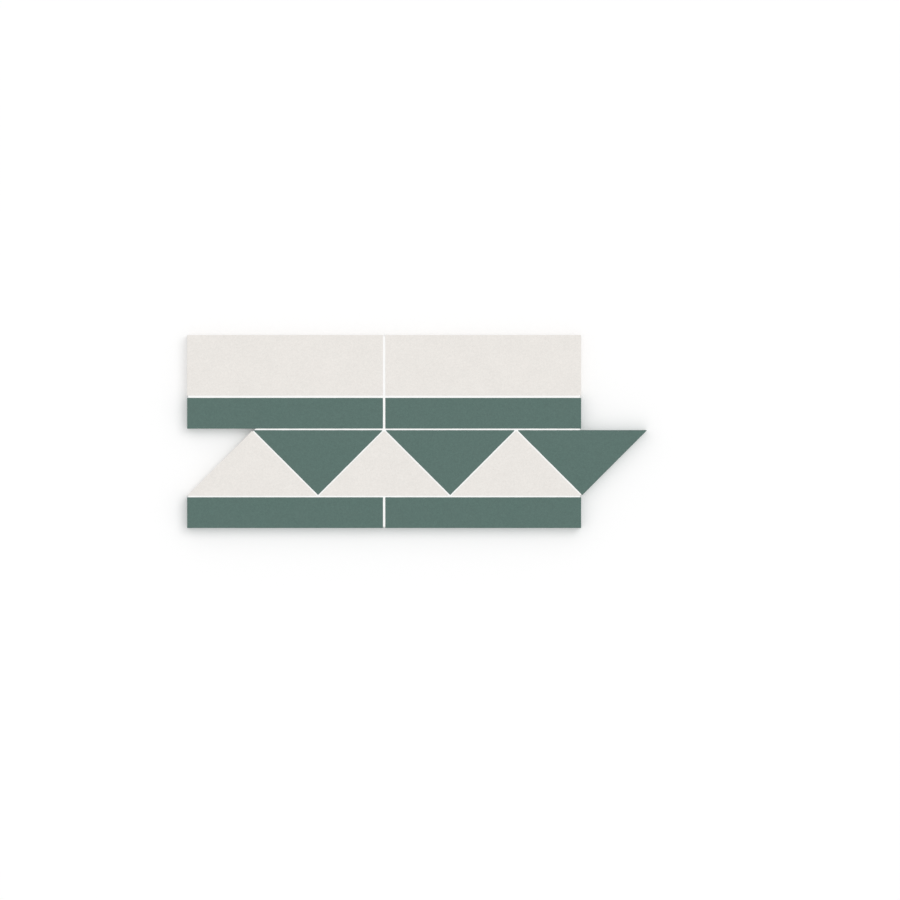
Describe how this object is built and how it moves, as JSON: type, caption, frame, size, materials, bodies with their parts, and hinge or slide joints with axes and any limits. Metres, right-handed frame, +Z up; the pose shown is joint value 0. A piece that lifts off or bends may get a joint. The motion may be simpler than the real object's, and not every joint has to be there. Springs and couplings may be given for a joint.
{
  "type": "clinker border tile",
  "caption": "Repeat sheet of an unglazed clinker tile border: off-white and green strips either side of a row of interlocking triangles, with white grouted joints.",
  "frame": {"origin": "middle of the sheet's bounding box, on the plane of the tiles' backs", "axes": "+X along the border, +Y across it towards the wide off-white strips, +Z up out of the tiles' faces"},
  "size_m": [0.3518, 0.1478, 0.009],
  "materials": {
    "off_white_clinker": "unglazed dust-pressed clinker, matt off-white, coloured right through",
    "green_clinker": "unglazed dust-pressed clinker, matt grey-green, coloured right through",
    "white_grout": "white cement grout, struck and tooled slightly hollow"
  },
  "bodies": {
    "root": {"wide_strip_1": "off_white_clinker", "wide_strip_2": "off_white_clinker", "upper_narrow_strip_1": "green_clinker", "upper_narrow_strip_2": "green_clinker", "white_triangle_1": "off_white_clinker", "white_triangle_2": "off_white_clinker", "white_triangle_3": "off_white_clinker", "green_triangle_1": "green_clinker", "green_triangle_2": "green_clinker", "green_triangle_3": "green_clinker", "lower_narrow_strip_1": "green_clinker", "lower_narrow_strip_2": "green_clinker", "joint_grout": "white_grout"}
  },
  "joints": []
}
